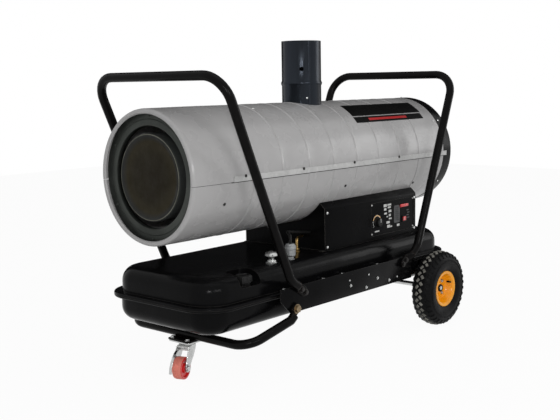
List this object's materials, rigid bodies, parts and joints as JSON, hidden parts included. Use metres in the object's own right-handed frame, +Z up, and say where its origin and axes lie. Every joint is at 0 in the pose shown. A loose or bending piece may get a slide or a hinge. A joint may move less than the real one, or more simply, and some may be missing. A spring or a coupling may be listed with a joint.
{
  "type": "wheeled indirect-fired forced air heater",
  "caption": "Horizontal barrel forced air heater with flue, belly fuel tank, bent tube handles, rear tyres and a braked front caster.",
  "frame": {"origin": "on the floor, under the middle of the bounding box", "axes": "+Z up, X along the barrel with the hot air outlet toward -X and the fan toward +X, control panel toward -Y"},
  "size_m": [1.3022, 0.618, 0.982],
  "materials": {
    "shell_grey": "gloss light grey powder coat",
    "gloss_black": "gloss black powder coat",
    "tube_black": "satin black powder coat",
    "heated_steel": "dull heat-tinted steel",
    "flue_steel": "blue-grey rolled steel",
    "zinc_steel": "bright zinc plate",
    "cast_aluminium": "as cast",
    "tyre_rubber": "black rubber with a block tread",
    "rim_orange": "gloss yellow-orange",
    "red_polyurethane": "smooth",
    "red_lens": "gloss",
    "black_plastic": "fine matt",
    "white_ceramic": "glazed",
    "green_board": "solder mask",
    "brass": "turned"
  },
  "bodies": {
    "heater": {"axle_carrier_far": "gloss_black", "axle_carrier_near": "gloss_black", "axle_collar_far": "black_plastic", "axle_collar_near": "black_plastic", "barrel_lower_shell": "shell_grey", "barrel_upper_shell": "shell_grey", "burner_tube": "heated_steel", "cable_inlet": "black_plastic", "caster_plate": "zinc_steel", "combustion_chamber": "heated_steel", "control_board": "green_board", "control_panel": "gloss_black", "drain_plug": "zinc_steel", "fan_guard": "gloss_black", "fan_motor": "cast_aluminium", "flue_pipe": "flue_steel", "front_handle": "tube_black", "front_loop": "tube_black", "fuel_filter": "cast_aluminium", "fuel_gauge": "zinc_steel", "fuel_nozzle": "brass", "fuel_pump": "cast_aluminium", "heat_exchanger": "heated_steel", "ignition_electrodes": "white_ceramic", "ignition_transformer": "black_plastic", "loop_bolt_far": "zinc_steel", "loop_bolt_near": "zinc_steel", "motor_bracket": "zinc_steel", "outlet_ring": "heated_steel", "power_lamp": "red_lens", "rear_axle": "zinc_steel", "rear_cowl": "gloss_black", "rear_handle": "tube_black", "return_line": "brass", "service_housing": "gloss_black", "side_cover_far": "gloss_black", "side_cover_near": "gloss_black", "side_rail_far": "gloss_black", "side_rail_near": "gloss_black", "suction_hose": "black_plastic", "switch_frame": "black_plastic", "tank_lower_half": "gloss_black", "tank_upper_half": "gloss_black"},
    "fan": {"fan_shaft": "zinc_steel", "fan_impeller": "cast_aluminium"},
    "wheel_near": {"wheel_rim_near": "rim_orange", "wheel_tyre_near": "tyre_rubber"},
    "wheel_far": {"wheel_rim_far": "rim_orange", "wheel_tyre_far": "tyre_rubber"},
    "caster_swivel": {"caster_fork": "zinc_steel", "caster_axle": "zinc_steel"},
    "caster_roller": {"caster_wheel": "red_polyurethane"},
    "caster_pedal": {"caster_brake": "zinc_steel"},
    "thermostat": {"thermostat_knob": "black_plastic"},
    "rocker": {"rocker_switch": "red_lens"},
    "filler": {"filler_cap": "black_plastic"}
  },
  "joints": [
    {"name": "fan_spin", "type": "hinge", "parent": "heater", "child": "fan", "pos_m": [0.56535, 0, 0.595], "axis": [1, 0, 0], "continuous": true},
    {"name": "wheel_near_spin", "type": "hinge", "parent": "heater", "child": "wheel_near", "pos_m": [0.43575, -0.27, 0.13], "axis": [0, 1, 0], "continuous": true},
    {"name": "wheel_far_spin", "type": "hinge", "parent": "heater", "child": "wheel_far", "pos_m": [0.43575, 0.27, 0.13], "axis": [0, 1, 0], "continuous": true},
    {"name": "caster_swivel_turn", "type": "hinge", "parent": "heater", "child": "caster_swivel", "pos_m": [-0.51565, 0, 0.1], "axis": [0, 0, 1], "continuous": true},
    {"name": "caster_wheel_spin", "type": "hinge", "parent": "caster_swivel", "child": "caster_roller", "pos_m": [-0.55136, -0.013, 0.033], "axis": [-0.342, 0.9397, 0], "continuous": true},
    {"name": "caster_brake_pedal", "type": "hinge", "parent": "caster_swivel", "child": "caster_pedal", "pos_m": [-0.53726, -0.00787, 0.0844], "axis": [-0.342, 0.9397, 0], "range_deg": [-6, 12]},
    {"name": "thermostat_turn", "type": "hinge", "parent": "heater", "child": "thermostat", "pos_m": [0.21135, -0.1682, 0.38], "axis": [0, -1, 0], "range_deg": [-280, 0]},
    {"name": "rocker_rock", "type": "hinge", "parent": "heater", "child": "rocker", "pos_m": [0.37435, -0.1642, 0.374], "axis": [0, 0, 1], "range_deg": [-9, 0]},
    {"name": "filler_cap_turn", "type": "hinge", "parent": "heater", "child": "filler", "pos_m": [-0.45465, -0.176, 0.3], "axis": [0, 0, 1], "range_deg": [0, 90]}
  ]
}
